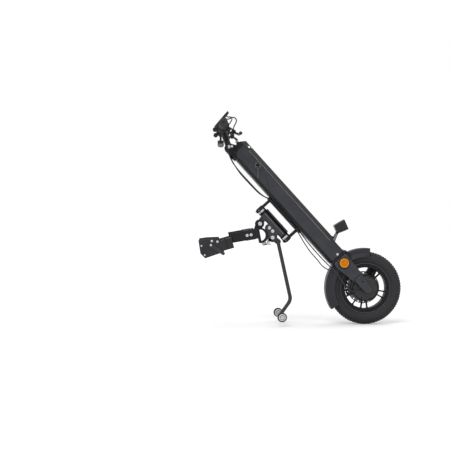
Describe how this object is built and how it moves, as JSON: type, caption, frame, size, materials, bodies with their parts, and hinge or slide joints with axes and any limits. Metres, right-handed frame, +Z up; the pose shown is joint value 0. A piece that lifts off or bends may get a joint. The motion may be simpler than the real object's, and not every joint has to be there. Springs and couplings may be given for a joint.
{
  "type": "wheelchair power assist",
  "caption": "Front electric drive for a manual wheelchair: hub-motor wheel, leaning battery column, handlebar, steering head, frame clamps and a folding parking stand.",
  "frame": {"origin": "on the floor under the middle of the object's box", "axes": "+X forward, towards the drive wheel; +Y to the rider's left; +Z up"},
  "size_m": [0.8676, 0.508, 0.9093],
  "materials": {
    "black_alloy": "satin black anodised",
    "charcoal_paint": "satin charcoal paint on cast alloy",
    "bright_steel": "zinc plated",
    "black_plastic": "fine texture",
    "pale_plastic": "moulded",
    "lid_plastic": "textured",
    "cell_wrap": "shrink wrapped cells",
    "grip_rubber": "ribbed",
    "tyre_rubber": "moulded tread",
    "cast_alloy": "grey painted casting",
    "copper_windings": "enamelled wire on laminations",
    "amber_lens": "prismatic reflector",
    "clear_lens": "clear",
    "cable_jacket": "satin jacket"
  },
  "bodies": {
    "docking_head": {"head_tube": "black_alloy", "head_plates": "black_alloy", "head_bolts": "bright_steel", "head_bearings": "bright_steel"},
    "dock_frame": {"tilt_plates": "black_alloy", "cross_bar": "charcoal_paint"},
    "arm_left": {"arm_left": "charcoal_paint", "arm_bolts_left": "bright_steel", "clamp_body_left": "black_alloy"},
    "arm_right": {"arm_right": "charcoal_paint", "arm_bolts_right": "bright_steel", "clamp_body_right": "black_alloy"},
    "jaw_left": {"clamp_jaw_left": "black_alloy"},
    "jaw_right": {"clamp_jaw_right": "black_alloy"},
    "latch_left": {"clamp_latch_left": "charcoal_paint"},
    "latch_right": {"clamp_latch_right": "charcoal_paint"},
    "stand": {"stand_leg": "charcoal_paint", "stand_axle": "bright_steel"},
    "stand_wheel_left": {"stand_wheel_left": "pale_plastic"},
    "stand_wheel_right": {"stand_wheel_right": "pale_plastic"},
    "column": {"column_housing": "charcoal_paint", "top_cap": "black_alloy", "steer_arms": "black_alloy", "rail": "black_alloy", "steering_bolt": "bright_steel", "controller": "cast_alloy", "column_bolts": "bright_steel", "lock_barrel": "bright_steel", "key_ring": "bright_steel", "crown": "black_alloy", "fork_left": "charcoal_paint", "fork_right": "charcoal_paint", "axle": "bright_steel", "axle_covers": "charcoal_paint", "reflectors": "amber_lens", "mudguard": "black_plastic", "caliper": "black_alloy", "motor_stator": "copper_windings", "lamp_bracket": "black_alloy", "stem": "black_alloy", "handlebar": "black_alloy", "grips": "grip_rubber", "lever_pods": "black_plastic", "display": "black_plastic", "cables": "cable_jacket"},
    "battery": {"battery_case": "lid_plastic", "battery_cells": "cell_wrap"},
    "key": {"key": "black_plastic"},
    "wheel": {"tyre": "tyre_rubber", "wheel_casting": "cast_alloy", "motor_covers": "cast_alloy", "magnet_ring": "bright_steel", "brake_disc": "bright_steel"},
    "headlamp": {"lamp_shell": "black_plastic", "lamp_lens": "clear_lens"},
    "mode_button": {"mode_button": "pale_plastic"},
    "thumb_lever_left": {"thumb_lever_left": "black_plastic"},
    "thumb_lever_right": {"thumb_lever_right": "black_plastic"},
    "brake_lever_left": {"brake_lever_left": "cast_alloy"},
    "brake_lever_right": {"brake_lever_right": "cast_alloy"}
  },
  "joints": [
    {"name": "steering", "type": "hinge", "parent": "docking_head", "child": "column", "pos_m": [-0.05581, 0, 0.36601], "axis": [-0.6717, 0, 0.7408], "range_deg": [-40, 40]},
    {"name": "dock_tilt", "type": "hinge", "parent": "docking_head", "child": "dock_frame", "pos_m": [-0.1728, 0, 0.43042], "axis": [0, 1, 0], "range_deg": [0, 20]},
    {"name": "stand_fold", "type": "hinge", "parent": "docking_head", "child": "stand", "pos_m": [-0.11903, 0, 0.37172], "axis": [0, 1, 0], "range_deg": [0, 80]},
    {"name": "wheel_spin", "type": "hinge", "parent": "column", "child": "wheel", "pos_m": [0.2777, 0, 0.156], "axis": [0, 1, 0], "continuous": true},
    {"name": "battery_tilt", "type": "hinge", "parent": "column", "child": "battery", "pos_m": [0.13532, 0, 0.3722], "axis": [0, 1, 0], "range_deg": [0, 30]},
    {"name": "key_turn", "type": "hinge", "parent": "column", "child": "key", "pos_m": [-0.18315, -0.06, 0.6821], "axis": [0, 1, 0], "range_deg": [0, 90]},
    {"name": "headlamp_tilt", "type": "hinge", "parent": "column", "child": "headlamp", "pos_m": [0.1542, 0, 0.38189], "axis": [0, 1, 0], "range_deg": [-15, 15]},
    {"name": "mode_button_press", "type": "slide", "parent": "column", "child": "mode_button", "axis": [0.757, 0, -0.6534], "range_m": [0, 0.001], "stiffness_N_per_m": 300},
    {"name": "stand_wheel_left_spin", "type": "hinge", "parent": "stand", "child": "stand_wheel_left", "pos_m": [-0.08503, 0.117, 0.04], "axis": [0, 1, 0], "continuous": true},
    {"name": "arm_left_width", "type": "slide", "parent": "dock_frame", "child": "arm_left", "axis": [0, 1, 0], "range_m": [-0.03, 0.01]},
    {"name": "jaw_left_open", "type": "hinge", "parent": "arm_left", "child": "jaw_left", "pos_m": [-0.3188, 0.163, 0.34742], "axis": [-0.2756, 0, 0.9613], "range_deg": [0, 50]},
    {"name": "latch_left_turn", "type": "hinge", "parent": "jaw_left", "child": "latch_left", "pos_m": [-0.38282, 0.2193, 0.34394], "axis": [0, 1, 0], "range_deg": [-60, 0]},
    {"name": "thumb_lever_left_press", "type": "hinge", "parent": "column", "child": "thumb_lever_left", "pos_m": [-0.3316, 0.091, 0.83839], "axis": [0, -1, 0], "range_deg": [0, 30], "stiffness_Nm_per_rad": 0.3},
    {"name": "brake_lever_left_pull", "type": "hinge", "parent": "column", "child": "brake_lever_left", "pos_m": [-0.29003, 0.108, 0.81439], "axis": [0.5, 0, 0.866], "range_deg": [0, 15], "stiffness_Nm_per_rad": 3},
    {"name": "stand_wheel_right_spin", "type": "hinge", "parent": "stand", "child": "stand_wheel_right", "pos_m": [-0.08503, -0.117, 0.04], "axis": [0, 1, 0], "continuous": true},
    {"name": "arm_right_width", "type": "slide", "parent": "dock_frame", "child": "arm_right", "axis": [0, -1, 0], "range_m": [-0.03, 0.01]},
    {"name": "jaw_right_open", "type": "hinge", "parent": "arm_right", "child": "jaw_right", "pos_m": [-0.3188, -0.163, 0.34742], "axis": [0.2756, 0, -0.9613], "range_deg": [0, 50]},
    {"name": "latch_right_turn", "type": "hinge", "parent": "jaw_right", "child": "latch_right", "pos_m": [-0.38282, -0.2193, 0.34394], "axis": [0, 1, 0], "range_deg": [-60, 0]},
    {"name": "thumb_lever_right_press", "type": "hinge", "parent": "column", "child": "thumb_lever_right", "pos_m": [-0.3316, -0.091, 0.83839], "axis": [0, -1, 0], "range_deg": [0, 30], "stiffness_Nm_per_rad": 0.3},
    {"name": "brake_lever_right_pull", "type": "hinge", "parent": "column", "child": "brake_lever_right", "pos_m": [-0.29003, -0.108, 0.81439], "axis": [-0.5, 0, -0.866], "range_deg": [0, 15], "stiffness_Nm_per_rad": 3}
  ]
}
